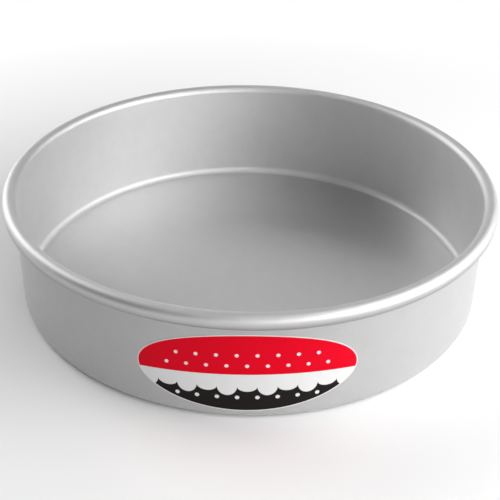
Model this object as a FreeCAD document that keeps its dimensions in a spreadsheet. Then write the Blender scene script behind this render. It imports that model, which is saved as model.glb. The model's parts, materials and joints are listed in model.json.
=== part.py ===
import FreeCAD, Part
import Sketcher
import math
import os

# Round cake tin, in millimetres: one spun aluminium shell with a rolled rim, and an oval stick-on label.
# +Z is up, the origin is the centre of the base, and the label faces -Y.

SIZES = [
    ("inside_diameter", 203.2, "inside of the straight wall, a round 8 inch tin"),
    ("overall_height", 50.8, "from the table to the top of the rim, 2 inches"),
    ("sheet_thickness", 1.2, "aluminium sheet, the same in floor, wall and rim"),
    ("base_corner_radius", 3.2, "inside fillet between floor and wall"),
    ("bead_width", 6.1, "across the rolled rim, from the inside of the wall"),
    ("bead_flat", 0.7, "straight stretch between the two bends of the roll"),
    ("curl_gap", 0.35, "slot left between the rolled edge and the wall"),
    ("label_length", 85.1, "oval label, measured round the wall"),
    ("label_lower_margin", 0.15, "bare wall between the base corner and the label"),
    ("label_upper_margin", 4.0, "bare wall between the label and the rim"),
    ("label_tilt", 0.9, "turn of the label as it was stuck on, in degrees"),
    ("adhesive_thickness", 0.05, "layer that bonds the label to the wall"),
    ("face_thickness", 0.1, "printed face of the label"),
]

# Lengths that several pieces share, as expressions on the sheet's cells.
WALL_OUTER = "(Sizes.inside_diameter / 2 + Sizes.sheet_thickness)"
CORNER_TOP = "(Sizes.base_corner_radius + Sizes.sheet_thickness)"
ROLL_BOTTOM = "(Sizes.overall_height - Sizes.bead_width - Sizes.bead_flat)"
LABEL_LOW = f"({CORNER_TOP} + Sizes.label_lower_margin)"
LABEL_HIGH = f"({ROLL_BOTTOM} - Sizes.label_upper_margin)"

# Point positions in a sketch: the two ends of an element and the centre of an arc.
START, END, CENTRE = range(1, 4)
ORIGIN = -1


def make_sheet(doc):
    """Spreadsheet with one named cell for each driving dimension."""
    sheet = doc.addObject("Spreadsheet::Sheet", "Sizes")
    for row, (alias, value, note) in enumerate(SIZES, start=1):
        sheet.set(f"A{row}", note)
        sheet.set(f"B{row}", str(value))
        sheet.setAlias(f"B{row}", alias)
    doc.recompute()
    return sheet


class Outline:
    """Chain of lines and arcs in a sketch, drawn in order and joined end to end."""

    def __init__(self, sketch, x, y):
        self.sketch = sketch
        self.tip = FreeCAD.Vector(x, y, 0)
        self.last = None

    def line_to(self, x, y, smooth=True):
        end = FreeCAD.Vector(x, y, 0)
        index = self.sketch.addGeometry(Part.LineSegment(self.tip, end), False)
        return self._join(index, START, END, end, smooth)

    def arc_to(self, centre, x, y, clockwise=False, smooth=True):
        middle = FreeCAD.Vector(*centre, 0)
        end = FreeCAD.Vector(x, y, 0)
        spokes = (end - middle, self.tip - middle) if clockwise else (self.tip - middle, end - middle)
        first, last = (math.atan2(spoke.y, spoke.x) for spoke in spokes)
        if last <= first:
            last += 2 * math.pi
        circle = Part.Circle(middle, FreeCAD.Vector(0, 0, 1), spokes[0].Length)
        index = self.sketch.addGeometry(Part.ArcOfCircle(circle, first, last), False)
        ends = (END, START) if clockwise else (START, END)
        return self._join(index, *ends, end, smooth)

    def _join(self, index, begin, finish, end, smooth):
        if self.last is not None:
            kind = "Tangent" if smooth else "Coincident"
            self.sketch.addConstraint(Sketcher.Constraint(kind, *self.last, index, begin))
        self.last = (index, finish)
        self.tip = end
        return index


def new_sketch(body, name, role):
    """Sketch on one of the body's own origin planes."""
    sketch = body.newObject("Sketcher::SketchObject", name)
    plane = next(feature for feature in body.Origin.OriginFeatures if feature.Role == role)
    sketch.AttachmentSupport = [(plane, "")]
    sketch.MapMode = "FlatFace"
    return sketch


def drive(sketch, name, expression, constraint):
    """Adds a named dimension to the sketch and binds it to the sheet."""
    index = sketch.addConstraint(constraint)
    sketch.renameConstraint(index, name)
    sketch.setExpression(f"Constraints.{name}", expression)


def draw_shell_section(sketch, sheet):
    """Half section of the sheet metal: floor, corner, wall and rolled rim, all of one thickness."""
    sheet_t = sheet.sheet_thickness
    wall_in = sheet.inside_diameter / 2
    wall_out = wall_in + sheet_t
    corner = (wall_in - sheet.base_corner_radius, sheet_t + sheet.base_corner_radius)
    roll_out = sheet.bead_width / 2
    roll_in = roll_out - sheet_t
    roll_x = wall_in + roll_out
    roll_top = (roll_x, sheet.overall_height - roll_out)
    roll_low = (roll_x, roll_top[1] - sheet.bead_flat)
    edge_sine = (roll_in - sheet.curl_gap) / roll_out
    edge_cosine = math.sqrt(1 - edge_sine ** 2)

    path = Outline(sketch, 0, 0)
    base = path.line_to(corner[0], 0)
    outer_corner = path.arc_to(corner, wall_out, corner[1])
    outer_wall = path.line_to(wall_out, roll_top[1])
    top_inside = path.arc_to(roll_top, roll_x + roll_in, roll_top[1], clockwise=True)
    flat_inside = path.line_to(roll_x + roll_in, roll_low[1])
    low_inside = path.arc_to(
        roll_low, roll_x - roll_in * edge_sine, roll_low[1] - roll_in * edge_cosine, clockwise=True
    )
    cut_edge = path.line_to(
        roll_x - roll_out * edge_sine, roll_low[1] - roll_out * edge_cosine, smooth=False
    )
    low_outside = path.arc_to(roll_low, roll_x + roll_out, roll_low[1], smooth=False)
    flat_outside = path.line_to(roll_x + roll_out, roll_top[1])
    top_outside = path.arc_to(roll_top, wall_in, roll_top[1])
    inner_wall = path.line_to(wall_in, corner[1])
    inner_corner = path.arc_to(corner, corner[0], sheet_t, clockwise=True)
    floor = path.line_to(0, sheet_t)
    axis = path.line_to(0, 0, smooth=False)

    rules = [
        ("Coincident", axis, END, base, START),
        ("Coincident", base, START, ORIGIN, START),
        ("Coincident", outer_corner, CENTRE, inner_corner, CENTRE),
        ("Coincident", top_inside, CENTRE, top_outside, CENTRE),
        ("Coincident", low_inside, CENTRE, low_outside, CENTRE),
        ("PointOnObject", low_outside, CENTRE, cut_edge),
        ("Equal", low_outside, top_outside),
        ("Vertical", axis),
        ("Horizontal", base),
        ("Horizontal", floor),
    ]
    rules += [("Vertical", side) for side in (outer_wall, inner_wall, flat_inside, flat_outside)]
    for rule in rules:
        sketch.addConstraint(Sketcher.Constraint(*rule))

    dimensions = [
        ("inside_radius", "Sizes.inside_diameter / 2", ("DistanceX", ORIGIN, START, inner_wall, START, wall_in)),
        ("wall", "Sizes.sheet_thickness", ("DistanceX", inner_wall, END, outer_wall, START, sheet_t)),
        ("corner", "Sizes.base_corner_radius", ("Radius", inner_corner, sheet.base_corner_radius)),
        ("roll_radius", "Sizes.bead_width / 2", ("Radius", top_outside, roll_out)),
        ("roll_height", "Sizes.overall_height - Sizes.bead_width / 2",
         ("DistanceY", ORIGIN, START, top_outside, CENTRE, roll_top[1])),
        ("roll_flat", "Sizes.bead_flat", ("DistanceY", low_outside, CENTRE, top_outside, CENTRE, sheet.bead_flat)),
        ("roll_slot", "Sizes.curl_gap", ("DistanceX", outer_wall, END, low_outside, START, sheet.curl_gap)),
    ]
    for name, expression, constraint in dimensions:
        drive(sketch, name, expression, Sketcher.Constraint(*constraint))


def make_pan_shell(doc, sheet):
    """The spun shell: its half section turned once round the axis."""
    body = doc.addObject("PartDesign::Body", "PanShell")
    body.Label = "pan_shell"
    sketch = new_sketch(body, "ShellSection", "XZ_Plane")
    draw_shell_section(sketch, sheet)
    spin = body.newObject("PartDesign::Revolution", "ShellSpin")
    spin.Profile = sketch
    spin.ReferenceAxis = (sketch, ["V_Axis"])
    spin.Angle = 360
    body.Placement = FreeCAD.Placement()
    return body


def make_label_die(doc):
    """Oval prism that cuts both layers of the label, from the axis out through the front of the wall."""
    oval = doc.addObject("Part::Ellipse", "LabelOval")
    oval.setExpression("MajorRadius", f"{WALL_OUTER} * sin(Sizes.label_length / (2 * {WALL_OUTER}) * 1rad)")
    oval.setExpression("MinorRadius", f"({LABEL_HIGH} - {LABEL_LOW}) / 2")
    oval.Placement.Rotation = FreeCAD.Rotation(FreeCAD.Vector(1, 0, 0), 90)
    die = doc.addObject("Part::Extrusion", "LabelDie")
    die.Base = oval
    die.DirMode = "Custom"
    die.Dir = FreeCAD.Vector(0, -1, 0)
    die.setExpression("LengthFwd", "Sizes.inside_diameter")
    die.Solid = True
    die.Placement.Rotation = FreeCAD.Rotation(FreeCAD.Vector(0, -1, 0), 1)
    die.setExpression("Placement.Rotation.Angle", "Sizes.label_tilt")
    die.setExpression("Placement.Base.z", f"({LABEL_HIGH} + {LABEL_LOW}) / 2")
    return die


def make_label_layer(doc, label, die, inner_radius, thickness):
    """One layer of the label: a sleeve round the wall, cut to the oval."""
    name = label.title().replace("_", "")
    faces = []
    for side, radius in (("Inside", inner_radius), ("Outside", f"{inner_radius} + {thickness}")):
        face = doc.addObject("Part::Cylinder", name + side)
        face.setExpression("Radius", radius)
        face.setExpression("Height", "Sizes.overall_height")
        faces.append(face)
    sleeve = doc.addObject("Part::Cut", name + "Sleeve")
    sleeve.Base = faces[1]
    sleeve.Tool = faces[0]
    layer = doc.addObject("Part::Common", name)
    layer.Label = label
    layer.Base = sleeve
    layer.Tool = die
    layer.Placement = FreeCAD.Placement()
    return layer


def check(doc, sub_parts):
    """Stops the build if any object failed or a sub-part isn't one sound solid."""
    for thing in doc.Objects:
        if "Invalid" in thing.State or "Error" in thing.State:
            raise RuntimeError(f"{thing.Label} failed: {thing.State}")
    for part in sub_parts:
        if part.Shape.isNull() or not part.Shape.isValid() or len(part.Shape.Solids) != 1:
            raise RuntimeError(f"{part.Label} isn't one sound solid")


def main():
    doc = FreeCAD.newDocument("RoundCakeTin")
    sheet = make_sheet(doc)
    die = make_label_die(doc)
    sub_parts = [
        make_pan_shell(doc, sheet),
        make_label_layer(doc, "label_adhesive", die, WALL_OUTER, "Sizes.adhesive_thickness"),
        make_label_layer(
            doc, "label_face", die, f"{WALL_OUTER} + Sizes.adhesive_thickness", "Sizes.face_thickness"
        ),
    ]
    doc.recompute()
    check(doc, sub_parts)
    os.makedirs("parts", exist_ok=True)
    for part in sub_parts:
        part.Shape.exportStep(f"parts/{part.Label}.step")
        print(f"{part.Label}: {part.Shape.Volume:.1f} cubic mm")


main()
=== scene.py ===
"""Round cake tin of satin anodised aluminium with an oval stick-on label, on a pale studio floor."""

import json
import math

import bpy
from bpy.props import FloatProperty, FloatVectorProperty, IntProperty, PointerProperty
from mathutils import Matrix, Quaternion, Vector


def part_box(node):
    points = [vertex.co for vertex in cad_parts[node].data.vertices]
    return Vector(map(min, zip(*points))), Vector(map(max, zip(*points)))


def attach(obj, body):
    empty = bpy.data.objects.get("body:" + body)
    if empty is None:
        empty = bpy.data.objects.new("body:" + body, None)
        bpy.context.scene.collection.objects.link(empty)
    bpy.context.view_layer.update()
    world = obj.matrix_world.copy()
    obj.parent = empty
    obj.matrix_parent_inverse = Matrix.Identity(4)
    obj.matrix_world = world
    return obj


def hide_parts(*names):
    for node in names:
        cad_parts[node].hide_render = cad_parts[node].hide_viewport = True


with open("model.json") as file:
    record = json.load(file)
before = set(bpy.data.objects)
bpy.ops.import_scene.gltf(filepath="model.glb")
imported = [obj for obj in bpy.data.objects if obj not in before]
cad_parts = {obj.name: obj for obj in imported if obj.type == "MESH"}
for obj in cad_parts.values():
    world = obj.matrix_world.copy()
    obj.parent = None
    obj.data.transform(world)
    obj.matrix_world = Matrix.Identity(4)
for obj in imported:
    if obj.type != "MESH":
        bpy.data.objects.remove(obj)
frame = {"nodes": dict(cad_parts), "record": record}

bl_info = {
    "name": "Round Cake Tin",
    "version": (1, 0, 0),
    "blender": (4, 5, 0),
    "location": "View3D > Sidebar > Cake Tin",
    "description": "Spins a round aluminium cake tin, sticks an oval label on its wall and lights it",
    "category": "Add Mesh",
}

MM = 0.001
BODY = "root"
FLOOR_SIZE = 40.0
WELD_GAP = 0.002 * MM
SMOOTH_ANGLE = math.radians(40)
NOISE_MEAN = 0.5
BLACK = (0.0, 0.0, 0.0, 1.0)
WHITE = (1.0, 1.0, 1.0, 1.0)

# Keywords that several properties share.
FACTOR = {"subtype": "FACTOR", "min": 0, "max": 1}
TINT = {"subtype": "COLOR", "min": 0, "max": 1}

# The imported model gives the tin's box, its straight inside wall and the two layers of the label.
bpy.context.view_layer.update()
_, SHELL_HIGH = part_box("pan_shell")
FACE_LOW, FACE_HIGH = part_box("label_face")
BOND_LOW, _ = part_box("label_adhesive")
MOUNTS = {mount["name"]: mount for mount in frame["record"]["mounts"]}
INSIDE_RADIUS = MOUNTS["inside_wall"]["dims"]["r_mm"] * MM
INSIDE_WALL = MOUNTS["inside_wall"]["dims"]["length_mm"] * MM
RIM_WIDTH = SHELL_HIGH.x - INSIDE_RADIUS
CORNER_TOP = SHELL_HIGH.z - RIM_WIDTH / 2 - INSIDE_WALL


class TinSizes(bpy.types.PropertyGroup):
    """Sizes of the spun sheet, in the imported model's frame."""

    inside_radius: FloatProperty(
        name="Inside Radius", description="Inside of the straight wall", unit="LENGTH",
        default=INSIDE_RADIUS,
    )
    height: FloatProperty(
        name="Height", description="From the table to the top of the rim", unit="LENGTH",
        default=SHELL_HIGH.z,
    )
    sheet: FloatProperty(
        name="Sheet", description="Thickness of the aluminium", unit="LENGTH",
        default=1.2 * MM,
    )
    corner_top: FloatProperty(
        name="Corner Top", description="Height where the base corner meets the wall", unit="LENGTH",
        default=CORNER_TOP,
    )
    rim_width: FloatProperty(
        name="Rim Width", description="Across the rolled rim, wall included", unit="LENGTH",
        default=RIM_WIDTH,
    )
    rim_flat: FloatProperty(
        name="Rim Flat", description="Straight stretch between the roll's two bends", unit="LENGTH",
        default=0.7 * MM,
    )
    roll_slot: FloatProperty(
        name="Roll Slot", description="Gap between the rolled edge and the wall", unit="LENGTH",
        default=0.35 * MM,
    )
    segments: IntProperty(
        name="Segments", description="Steps of the spin round the axis", min=32,
        default=256,
    )


class TinFinish(bpy.types.PropertyGroup):
    """Look of the anodised metal."""

    colour: FloatVectorProperty(
        name="Colour", description="Tint of the anodised aluminium", **TINT,
        default=(0.675, 0.675, 0.675),
    )
    roughness: FloatProperty(
        name="Roughness", description="Spread of the satin sheen", **FACTOR,
        default=0.60,
    )
    floor_roughness: FloatProperty(
        name="Floor Roughness", description="Spread of the sheen on the undrawn floor", **FACTOR,
        default=0.45,
    )
    outer_roughness: FloatProperty(
        name="Outer Roughness", description="Spread of the sheen on the outside of the wall", **FACTOR,
        default=0.80,
    )
    # Painted shade: how much the colour of the wall's outside is darkened, in place of the darker floor that
    # it reflects.
    outside_painted_shade: FloatProperty(
        name="Outer Shade", description="Brightness lost on the outside of the wall", **FACTOR,
        default=0.11,
    )
    # Painted shade: the share of the colour left under the roll and at the foot of the base corner.
    underside_painted_shade: FloatProperty(
        name="Underside", description="Brightness left on the unrubbed undersides", **FACTOR,
        default=0.6,
    )
    grain: FloatProperty(
        name="Grain", description="Width of the etched grain", unit="LENGTH",
        default=0.6 * MM,
    )


class LabelDesign(bpy.types.PropertyGroup):
    """Size and print of the oval label."""

    length: FloatProperty(
        name="Length", description="Long axis, measured round the wall", unit="LENGTH",
        default=85.1 * MM,
    )
    height: FloatProperty(
        name="Height", description="Short axis", unit="LENGTH",
        default=FACE_HIGH.z - FACE_LOW.z,
    )
    tilt: FloatProperty(
        name="Tilt", description="Turn of the label on the wall", subtype="ANGLE",
        default=math.radians(0.9),
    )
    red: FloatVectorProperty(
        name="Red", description="Upper field", **TINT,
        default=(0.70, 0.0, 0.014),
    )
    black: FloatVectorProperty(
        name="Black", description="Lower field", **TINT,
        default=(0.014, 0.011, 0.011),
    )
    white: FloatVectorProperty(
        name="White", description="Icing, dots and edge line", **TINT,
        default=(0.74, 0.74, 0.74),
    )


class StudioSetup(bpy.types.PropertyGroup):
    """Camera, floor and ambient light."""

    distance: FloatProperty(
        name="Distance", description="From the camera to its aim point", unit="LENGTH",
        default=456.96 * MM,
    )
    elevation: FloatProperty(
        name="Elevation", description="Camera height above the horizon", subtype="ANGLE",
        default=math.radians(31.65),
    )
    roll: FloatProperty(
        name="Roll", description="Turn of the camera about its own axis", subtype="ANGLE",
        default=math.radians(1.01),
    )
    aim: FloatVectorProperty(
        name="Aim", description="Point at the middle of the picture", subtype="TRANSLATION", unit="LENGTH",
        default=(0.23 * MM, 0, 12.5 * MM),
    )
    focal: FloatProperty(
        name="Focal Length", description="In millimetres on a 36 mm sensor",
        default=71.21,
    )
    floor: FloatVectorProperty(
        name="Floor", description="Colour of the floor", **TINT,
        default=(0.92, 0.92, 0.92),
    )
    white_reach: FloatProperty(
        name="White Reach", description="How far from the axis the floor is plain white", unit="LENGTH",
        default=0.33,
    )
    ambient: FloatProperty(
        name="Ambient", description="Strength of the light from all round", min=0,
        default=0.01,
    )


class Wire:
    """A socket of a material that is used in plain arithmetic: each sign adds a Math node."""

    def __init__(self, tree, socket):
        self.tree = tree
        self.socket = socket

    def node(self, kind, settings=None, inputs=None, output=0):
        """Adds any node: its settings are set first, then its sockets get values or links."""
        made = self.tree.nodes.new(kind)
        for name, value in (settings or {}).items():
            setattr(made, name, value)
        for key, value in (inputs or {}).items():
            if isinstance(value, Wire):
                self.tree.links.new(value.socket, made.inputs[key])
            else:
                made.inputs[key].default_value = value
        return Wire(self.tree, made.outputs[output])

    def math(self, operation, *values, clamp=False):
        settings = {"operation": operation, "use_clamp": clamp}
        return self.node("ShaderNodeMath", settings, dict(enumerate(values)))

    def __add__(self, other):
        return self.math("ADD", self, other)

    def __radd__(self, other):
        return self.math("ADD", other, self)

    def __sub__(self, other):
        return self.math("SUBTRACT", self, other)

    def __rsub__(self, other):
        return self.math("SUBTRACT", other, self)

    def __mul__(self, other):
        return self.math("MULTIPLY", self, other)

    def __rmul__(self, other):
        return self.math("MULTIPLY", other, self)

    def __truediv__(self, other):
        return self.math("DIVIDE", self, other)

    def __rtruediv__(self, other):
        return self.math("DIVIDE", other, self)

    def __pow__(self, other):
        return self.math("POWER", self, other)

    def __rpow__(self, other):
        return self.math("POWER", other, self)

    def __abs__(self):
        return self.math("ABSOLUTE", self)

    def output(self, name):
        """Another output of the node that this wire comes from."""
        return Wire(self.tree, self.socket.node.outputs[name])

    def split(self):
        """The three parts of a vector."""
        x = self.node("ShaderNodeSeparateXYZ", None, {"Vector": self})
        return x, x.output("Y"), x.output("Z")

    def over(self, limit, soft=0.12):
        """Mask that is 1 where this value is above the limit, with a soft edge as wide as soft."""
        return self.math("ADD", (self - limit) / soft, 0.5, clamp=True)

    def rise(self, low, high):
        """Mask that goes from 0 at low to 1 at high."""
        return self.over((low + high) / 2, soft=high - low)

    def noise(self, width, detail=2.0):
        """Cloudy pattern whose patches are about as wide as width."""
        inputs = {"Vector": self, "Scale": 1 / width, "Detail": detail}
        return self.node("ShaderNodeTexNoise", None, inputs)

    def blend(self, under, over):
        """Colour that goes from under to over as this value goes from 0 to 1."""
        # A Mix node has sockets for each kind of data; these are the factor, both colours and their result.
        inputs = {0: self, 6: under, 7: over}
        return self.node("ShaderNodeMix", {"data_type": "RGBA"}, inputs, output=2)


def rgba(colour):
    return (*colour, 1.0)


def new_material(name):
    """New material; returns it, its surface shader and a wire of the object's own coordinates."""
    material = bpy.data.materials.new(name)
    material.use_nodes = True
    tree = material.node_tree
    shader = next(node for node in tree.nodes if node.type == "BSDF_PRINCIPLED")
    place = tree.nodes.new("ShaderNodeTexCoord")
    return material, shader, Wire(tree, place.outputs["Object"])


def feed(shader, socket, wire):
    wire.tree.links.new(wire.socket, shader.inputs[socket])


def satin_aluminium(finish, sizes):
    """Clear anodised aluminium: a fine satin grain, closer on the floor and more matt outside, with painted
    shade darkening the outside of the wall and the undersides.
    """
    material, shader, place = new_material("satin_aluminium")
    shader.inputs["Metallic"].default_value = 1.0
    x, y, z = place.split()
    radius = (x ** 2 + y ** 2) ** 0.5
    wall_in = sizes.inside_radius
    wall_out = wall_in + sizes.sheet
    roll_bottom = sizes.height - sizes.rim_width - sizes.rim_flat
    fade = 1.0 * MM

    # Three patterns, with weights that add up to 1, swing the tone either way.
    tone_swing = 0.1
    cloud = place.noise(30 * MM, detail=3.0)
    mottle = place.noise(6 * MM)
    grain = place.noise(finish.grain)
    tone = 0.25 * cloud + 0.3 * mottle + 0.45 * grain
    pale = rgba(min(1.0, (1 + tone_swing) * value) for value in finish.colour)
    deep = rgba((1 - tone_swing) * value for value in finish.colour)
    colour = tone.blend(deep, pale)

    # The wall's outside, drawn over the die, is more matt; its colour is also darkened as painted shade,
    # standing in for the darker floor that it reflects.
    outside = radius.rise(wall_in + sizes.sheet / 3, wall_out - sizes.sheet / 3)
    outside = outside * (1 - z.over(roll_bottom, soft=fade))
    # Painted shade on the outside of the wall.
    colour = (finish.outside_painted_shade * outside).blend(colour, BLACK)

    # Painted shade: the colour is darkened on the lower half of the roll and on the foot of the base corner,
    # standing in for the shade under the roll and the dark floor that the foot reflects.
    shade_full_below = roll_bottom + 1.4 * MM
    shade_gone_above = roll_bottom + 5.0 * MM
    foot = 1.4 * MM
    below_roll = radius.rise(wall_out, wall_out + fade) * (1 - z.rise(shade_full_below, shade_gone_above))
    below_corner = 1 - z.rise(0, foot)
    under = below_roll.math("MAXIMUM", below_roll, below_corner)
    # The painted shade's colour, blended in under the roll and at the foot of the corner.
    under_shade_colour = rgba(finish.underside_painted_shade * value for value in finish.colour)
    feed(shader, "Base Color", under.blend(colour, under_shade_colour))

    # The flat floor keeps the closer finish of the blank, which the corner and the wall lost when drawn.
    corner_radius = sizes.corner_top - sizes.sheet
    flat = 1 - radius.over(wall_in - corner_radius, soft=fade)
    sheen = finish.roughness + (finish.floor_roughness - finish.roughness) * flat
    sheen = sheen + (finish.outer_roughness - finish.roughness) * outside
    uneven = 0.05 * (cloud - NOISE_MEAN) + 0.04 * (grain - NOISE_MEAN)
    feed(shader, "Roughness", sheen + uneven)
    bump = {"Strength": 0.06, "Distance": 0.02 * MM, "Height": grain}
    feed(shader, "Normal", place.node("ShaderNodeBump", None, bump))
    return material


def label_film(design):
    """Printed film: a red field, white icing that hangs in scallops over a black field, and sugar dots."""
    material, shader, place = new_material("label_film")
    shader.inputs["Specular IOR Level"].default_value = 0.06

    # All of the print is measured in millimetres from the middle of the label.
    half_length = design.length / MM / 2
    half_height = design.height / MM / 2
    u, v, _ = place.node("ShaderNodeUVMap", {"uv_map": "print"}).split()
    x = (2 * u - 1) * half_length
    y = (2 * v - 1) * half_height

    # Distance in from the oval's edge, from the slope of its radius, which is nothing at the middle.
    least_slope = 0.001
    ring = ((x / half_length) ** 2 + (y / half_height) ** 2) ** 0.5
    slope = ((x / half_length ** 2) ** 2 + (y / half_height ** 2) ** 2) ** 0.5
    inset = (1 - ring) * ring / slope.math("MAXIMUM", slope, least_slope)

    # One scallop per pitch, short and long in turn, below a gently crowned top.
    pitch = 7.6
    short_drop = 2.4
    extra_drop = 1.8
    cell = x / pitch + 0.5
    swing = cell.math("FRACT", cell) * 2 - 1
    turn = cell.math("FLOOR", cell)
    drop = short_drop + extra_drop * turn.math("FLOORED_MODULO", turn, 2.0)
    curve = cell.math("MAXIMUM", 1 - swing * swing, 0.0) ** 0.5
    icing_foot = -6.0 - drop * curve
    icing_top = -0.4 - 0.0012 * x * x

    # Sugar dots clear of the label's ends: a row on the black and two on the red, half a pitch apart.
    dots_end = 32
    under_cusp = (cell.math("FRACT", x / pitch) - 0.5) * pitch
    over_scallop = swing * (pitch / 2)
    dots = 0
    for aside, rise, size in (
        (under_cusp, y + 11.2, 0.85),
        (over_scallop, y - icing_top - 4.0, 0.75),
        (under_cusp, y - icing_top - 8.8, 0.75),
    ):
        dots = dots + (1 - ((aside * aside + rise * rise) ** 0.5).over(size))
    dots = dots * (1 - abs(x).over(dots_end, soft=0.5))

    edge_line = 0.4
    white = rgba(design.white)
    colour = y.over(icing_foot).blend(rgba(design.black), white)
    colour = y.over(icing_top).blend(colour, rgba(design.red))
    colour = dots.blend(colour, white)
    colour = (1 - inset.over(edge_line)).blend(colour, white)
    feed(shader, "Base Color", colour)
    feed(shader, "Roughness", 0.4 + 0.1 * place.noise(4 * MM))
    return material


def adhesive_film():
    """Milky bond line at the label's edge."""
    material, shader, place = new_material("adhesive_film")
    thick = (0.62, 0.60, 0.55, 1.0)
    thin = (0.78, 0.76, 0.70, 1.0)
    haze = place.noise(2 * MM)
    feed(shader, "Base Color", haze.blend(thick, thin))
    feed(shader, "Roughness", 0.4 + 0.2 * haze)
    return material


def pale_floor(studio):
    """Matt white paper: it holds the tin's shadow, and further off it shows as plain white, in metal too."""
    material, shader, place = new_material("pale_floor")
    hollow_shade = 0.985
    tooth = place.noise(1.5 * MM, detail=3.0)
    hollow = rgba(hollow_shade * value for value in studio.floor)
    feed(shader, "Base Color", tooth.blend(hollow, rgba(studio.floor)))
    shader.inputs["Roughness"].default_value = 0.9
    shader.inputs["Specular IOR Level"].default_value = 0.0
    paper = Wire(place.tree, shader.outputs[0])
    white = place.node("ShaderNodeEmission", None, {"Color": WHITE, "Strength": 1.0})

    camera = place.node("ShaderNodeLightPath", None, None, "Is Camera Ray")
    seen = camera + camera.output("Is Glossy Ray") + camera.output("Is Transmission Ray")
    x, y, _ = place.split()
    away = (x ** 2 + y ** 2) ** 0.5
    share = away.rise(SHELL_HIGH.x, studio.white_reach) * seen.math("MINIMUM", seen, 1.0)
    both = place.node("ShaderNodeMixShader", None, {0: share, 1: paper, 2: white})
    end = next(node for node in place.tree.nodes if node.type == "OUTPUT_MATERIAL")
    feed(end, "Surface", both)
    return material


def start_point(name):
    """New piece at the origin, in edit mode, whose mesh is one vertex ready to be drawn out."""
    bpy.ops.object.select_all(action="DESELECT")
    bpy.ops.mesh.primitive_plane_add(size=MM)
    piece = bpy.context.object
    piece.name = name
    piece.data.name = name
    bpy.ops.object.mode_set(mode="EDIT")
    bpy.ops.mesh.select_all(action="SELECT")
    bpy.ops.mesh.merge(type="CENTER")
    return piece


def draw_straight(run, rise):
    """Draws the section on by a straight stretch."""
    bpy.ops.mesh.extrude_region_move(TRANSFORM_OT_translate={"value": (run, 0, rise)})


def draw_bend(centre, degrees, steps):
    """Draws the section on by a bend about a centre; with the axis at the left, plus is anticlockwise."""
    x, z = centre
    bpy.ops.mesh.spin(steps=steps, angle=math.radians(degrees), center=(x, 0, z), axis=(0, 1, 0))


def spin_section(axis, steps):
    """Turns the whole section once round an axis through the origin and closes the seam and poles."""
    bpy.ops.mesh.select_all(action="SELECT")
    bpy.ops.mesh.spin(steps=steps, angle=math.tau, center=(0, 0, 0), axis=axis)
    bpy.ops.mesh.select_all(action="SELECT")
    bpy.ops.mesh.remove_doubles(threshold=WELD_GAP)
    bpy.ops.mesh.normals_make_consistent(inside=False)


def finish_piece(piece, material, node):
    """Back to object mode: smooth shading, material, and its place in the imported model."""
    bpy.ops.object.mode_set(mode="OBJECT")
    bpy.ops.object.shade_smooth_by_angle(angle=SMOOTH_ANGLE)
    piece.data.materials.clear()
    piece.data.materials.append(material)
    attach(piece, BODY)
    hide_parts(node)


class TIN_OT_shell(bpy.types.Operator):
    """Spins the sheet-metal section into the tin's shell"""

    bl_idname = "tin.shell"
    bl_label = "Spin Shell"

    corner_steps = 10
    hollow_top_steps = 16
    hollow_low_steps = 10
    bead_top_steps = 24
    bead_low_steps = 14

    def execute(self, context):
        sizes = context.scene.tin_sizes
        corner_x = sizes.inside_radius - (sizes.corner_top - sizes.sheet)
        corner = (corner_x, sizes.corner_top)
        bead_radius = sizes.rim_width / 2
        hollow_radius = bead_radius - sizes.sheet
        roll_x = sizes.inside_radius + bead_radius
        roll_z = sizes.height - bead_radius
        roll_top = (roll_x, roll_z)
        roll_low = (roll_x, roll_z - sizes.rim_flat)
        wall = roll_z - sizes.corner_top
        edge = math.asin((hollow_radius - sizes.roll_slot) / bead_radius)
        under_turn = 90 + math.degrees(edge)

        # Out beneath, up the outside, round the roll's hollow, back round its bead and down the inside.
        piece = start_point("pan_shell_spun")
        draw_straight(corner_x, 0)
        draw_bend(corner, 90, self.corner_steps)
        draw_straight(0, wall)
        draw_bend(roll_top, -180, self.hollow_top_steps)
        draw_straight(0, -sizes.rim_flat)
        draw_bend(roll_low, -under_turn, self.hollow_low_steps)
        draw_straight(-sizes.sheet * math.sin(edge), -sizes.sheet * math.cos(edge))
        draw_bend(roll_low, under_turn, self.bead_low_steps)
        draw_straight(0, sizes.rim_flat)
        draw_bend(roll_top, 180, self.bead_top_steps)
        draw_straight(0, -wall)
        draw_bend(corner, -90, self.corner_steps)
        draw_straight(-corner_x, 0)
        spin_section((0, 0, 1), sizes.segments)
        metal = satin_aluminium(context.scene.tin_finish, sizes)
        finish_piece(piece, metal, "pan_shell")
        return {"FINISHED"}


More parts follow.
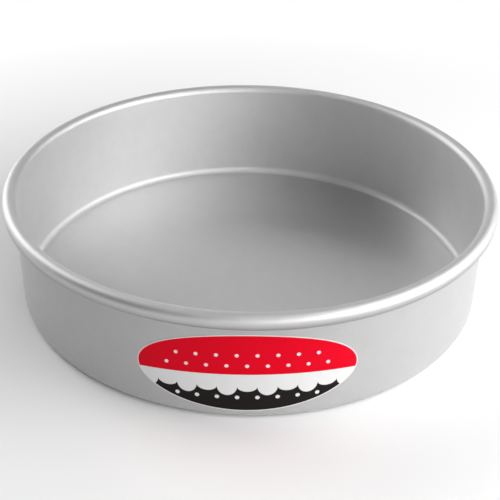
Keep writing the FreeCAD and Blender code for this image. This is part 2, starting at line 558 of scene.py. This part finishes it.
class TIN_OT_label(bpy.types.Operator):
    """Cuts the oval label and wraps it on the front of the wall"""

    bl_idname = "tin.label"
    bl_label = "Stick On Label"

    rings = 14
    steps = 160

    def execute(self, context):
        design = context.scene.tin_label
        piece = start_point("label_face_print")
        self.cut_oval(piece, design)
        self.map_print(piece, design)
        self.wrap(piece, design)
        finish_piece(piece, label_film(design), "label_face")
        return {"FINISHED"}

    def cut_oval(self, piece, design):
        """Spins a flat disc, stretches it to the oval and turns its face to the front."""
        for _ in range(self.rings):
            draw_straight(1 / self.rings, 0)
        spin_section((0, 1, 0), self.steps)
        half_axes = (design.length / 2, 1, design.height / 2)
        bpy.ops.transform.resize(value=half_axes, center_override=(0, 0, 0))
        bpy.ops.object.mode_set(mode="OBJECT")
        if piece.data.polygons[0].normal.y > 0:
            piece.data.flip_normals()

    def map_print(self, piece, design):
        """Lays the print's map on the oval while it is still flat and level."""
        layer = piece.data.uv_layers.new(name="print")
        for loop, spot in zip(piece.data.loops, layer.data):
            point = piece.data.vertices[loop.vertex_index].co
            spot.uv = (point.x / design.length + 0.5, point.z / design.height + 0.5)

    def wrap(self, piece, design):
        """Tilts the oval, gives it its thickness, bends it to the wall and sets it against the adhesive."""
        bond_radius = -BOND_LOW.y
        bpy.ops.object.mode_set(mode="EDIT")
        bpy.ops.mesh.select_all(action="SELECT")
        bpy.ops.transform.rotate(value=design.tilt, orient_axis="Y", center_override=(0, 0, 0))
        bpy.ops.object.mode_set(mode="OBJECT")
        solid = piece.modifiers.new("thickness", "SOLIDIFY")
        solid.thickness = BOND_LOW.y - FACE_LOW.y
        solid.offset = 1
        bend = piece.modifiers.new("bend", "SIMPLE_DEFORM")
        bend.deform_method = "BEND"
        bend.deform_axis = "Z"
        bend.angle = piece.dimensions.x / bond_radius
        for modifier in ("thickness", "bend"):
            bpy.ops.object.modifier_apply(modifier=modifier)
        bpy.ops.object.mode_set(mode="EDIT")
        bpy.ops.mesh.select_all(action="SELECT")
        bpy.ops.transform.translate(value=(0, -bond_radius, (FACE_LOW.z + FACE_HIGH.z) / 2))


class TIN_OT_adhesive(bpy.types.Operator):
    """Gives the bond line under the label its milky film"""

    bl_idname = "tin.adhesive"
    bl_label = "Finish Adhesive"

    def execute(self, context):
        bond = frame["nodes"]["label_adhesive"]
        bond.data.materials.clear()
        bond.data.materials.append(adhesive_film())
        return {"FINISHED"}


class TIN_OT_stage(bpy.types.Operator):
    """Lays the floor and sets the lamps, the world and the camera"""

    bl_idname = "tin.stage"
    bl_label = "Set Stage"

    def execute(self, context):
        studio = context.scene.tin_studio
        self.lay_floor(studio)
        self.set_lamps()
        self.set_world(context.scene, studio)
        self.set_camera(context.scene, studio)
        context.scene.view_settings.view_transform = "Standard"
        return {"FINISHED"}

    def lay_floor(self, studio):
        bpy.ops.object.select_all(action="DESELECT")
        bpy.ops.mesh.primitive_plane_add(size=FLOOR_SIZE)
        floor = bpy.context.object
        floor.name = "floor"
        floor.data.materials.append(pale_floor(studio))

    def set_lamps(self):
        """Ten softboxes: azimuth runs from the front to the right, and the angles are in degrees."""
        near = 0.65
        far = 1.5
        self.softbox("key_right", near, azimuth=67, elevation=22, wide=47, high=20, radiance=7.3)
        self.softbox("key_back", near, azimuth=113.5, elevation=25, wide=39, high=30, radiance=1.3)
        self.softbox("key_top", near, azimuth=80, elevation=48, wide=42, high=24, radiance=2.85)
        self.softbox("front_right", far, azimuth=23.5, elevation=16.5, wide=41, high=27, radiance=3.15)
        self.softbox("front_top", far, azimuth=2.5, elevation=62, wide=27, high=24, radiance=1.4)
        self.softbox("back_left", far, azimuth=-124, elevation=27.5, wide=29, high=49, radiance=4.0)
        self.softbox("back_left_low", far, azimuth=-156, elevation=14, wide=12, high=20, radiance=1.9)
        self.softbox("back_middle", far, azimuth=180, elevation=22, wide=11, high=36, radiance=1.7)
        self.softbox("back_right", far, azimuth=168, elevation=41, wide=9, high=34, radiance=1.05)
        self.softbox("overhead", far, azimuth=0, elevation=88, wide=40, high=40, radiance=0.31)

    def softbox(self, name, distance, azimuth, elevation, wide, high, radiance):
        """Area lamp round the tin, sized by the angles that it fills; radiance is how bright its face is."""
        turn = math.radians(azimuth)
        lift = math.radians(elevation)
        back = Vector((math.sin(turn) * math.cos(lift), -math.cos(turn) * math.cos(lift), math.sin(lift)))
        lamp = bpy.data.lights.new(name, "AREA")
        lamp.shape = "RECTANGLE"
        lamp.size = 2 * distance * math.tan(math.radians(wide) / 2)
        lamp.size_y = 2 * distance * math.tan(math.radians(high) / 2)
        lamp.energy = radiance * math.pi * lamp.size * lamp.size_y
        holder = bpy.data.objects.new(name, lamp)
        holder.location = back * distance
        holder.rotation_mode = "QUATERNION"
        holder.rotation_quaternion = (-back).to_track_quat("-Z", "Y")
        holder.visible_camera = False
        bpy.context.scene.collection.objects.link(holder)

    def set_world(self, scene, studio):
        world = bpy.data.worlds.new("studio")
        world.use_nodes = True
        light = world.node_tree.nodes["Background"]
        light.inputs["Color"].default_value = WHITE
        light.inputs["Strength"].default_value = studio.ambient
        scene.world = world

    def set_camera(self, scene, studio):
        back = Vector((0, -math.cos(studio.elevation), math.sin(studio.elevation)))
        camera = bpy.data.cameras.new("camera")
        camera.lens = studio.focal
        camera.clip_start = 0.01
        holder = bpy.data.objects.new("camera", camera)
        holder.location = Vector(studio.aim) + back * studio.distance
        holder.rotation_mode = "QUATERNION"
        level = (-back).to_track_quat("-Z", "Y")
        holder.rotation_quaternion = level @ Quaternion((0, 0, 1), studio.roll)
        scene.collection.objects.link(holder)
        scene.camera = holder


class TIN_PT_maker(bpy.types.Panel):
    """Sidebar panel that lists the tin's sizes, finishes and steps."""

    bl_label = "Round Cake Tin"
    bl_idname = "TIN_PT_maker"
    bl_space_type = "VIEW_3D"
    bl_region_type = "UI"
    bl_category = "Cake Tin"

    def draw(self, context):
        for name, group in GROUPS.items():
            box = self.layout.box()
            settings = getattr(context.scene, name)
            for prop in group.__annotations__:
                box.prop(settings, prop)
        for step in STEPS:
            self.layout.operator(step.bl_idname)


GROUPS = {
    "tin_sizes": TinSizes,
    "tin_finish": TinFinish,
    "tin_label": LabelDesign,
    "tin_studio": StudioSetup,
}
STEPS = (TIN_OT_shell, TIN_OT_label, TIN_OT_adhesive, TIN_OT_stage)


def register():
    for cls in (*GROUPS.values(), *STEPS, TIN_PT_maker):
        bpy.utils.register_class(cls)
    for name, group in GROUPS.items():
        setattr(bpy.types.Scene, name, PointerProperty(type=group))


def unregister():
    for name in GROUPS:
        delattr(bpy.types.Scene, name)
    for cls in (TIN_PT_maker, *reversed(STEPS), *reversed(GROUPS.values())):
        bpy.utils.unregister_class(cls)


def main():
    register()
    bpy.ops.tin.shell()
    bpy.ops.tin.label()
    bpy.ops.tin.adhesive()
    bpy.ops.tin.stage()


if __name__ == "__main__":
    main()
